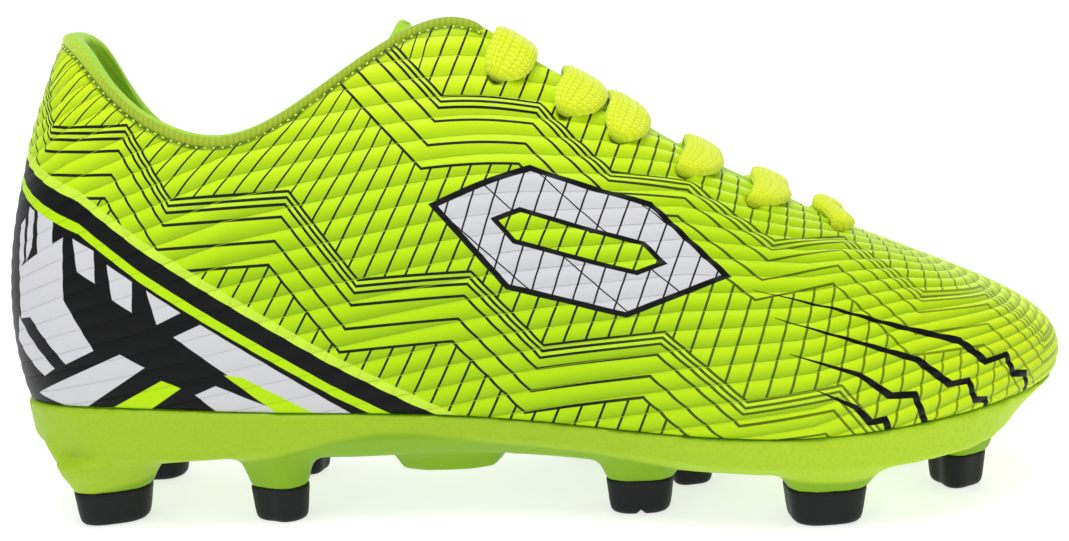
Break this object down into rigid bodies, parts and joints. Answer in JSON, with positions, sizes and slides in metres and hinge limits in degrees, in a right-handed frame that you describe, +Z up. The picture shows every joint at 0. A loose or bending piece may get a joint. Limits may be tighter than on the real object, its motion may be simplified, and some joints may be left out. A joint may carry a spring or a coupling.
{
  "type": "football boot",
  "caption": "Low-cut junior football boot for the left foot: hollow ribbed synthetic upper, tongue and flat laces, on a moulded sole with black-tipped studs.",
  "frame": {"origin": "on the ground under the middle of the boot", "axes": "+Z up, +X from heel to toe, -Y the inner side of the foot"},
  "size_m": [0.2274, 0.0806, 0.1054],
  "materials": {
    "upper_synthetic": "coated synthetic leather with embossed ribs and printed lines, satin",
    "sole_moulding": "moulded polyurethane with a fine grain",
    "sockliner": "knitted cloth on foam",
    "tongue_padding": "knitted cloth on thin foam",
    "lace_knit": "flat looped knit",
    "stud_tip": "hard moulded plastic, satin"
  },
  "bodies": {
    "root": {"upper": "upper_synthetic", "outsole": "sole_moulding", "insole": "sockliner", "tongue": "tongue_padding", "lace_1": "lace_knit", "lace_2": "lace_knit", "lace_3": "lace_knit", "lace_4": "lace_knit", "lace_5": "lace_knit", "lace_6": "lace_knit", "stud_tip_heel_inner_rear": "stud_tip", "stud_tip_heel_inner_front": "stud_tip", "stud_tip_heel_outer_rear": "stud_tip", "stud_tip_heel_outer_front": "stud_tip", "stud_tip_forefoot_inner_rear": "stud_tip", "stud_tip_forefoot_inner_front": "stud_tip", "stud_tip_forefoot_outer_rear": "stud_tip", "stud_tip_forefoot_outer_front": "stud_tip", "stud_tip_forefoot_middle": "stud_tip", "stud_tip_toe_inner": "stud_tip", "stud_tip_toe_outer": "stud_tip"}
  },
  "joints": []
}
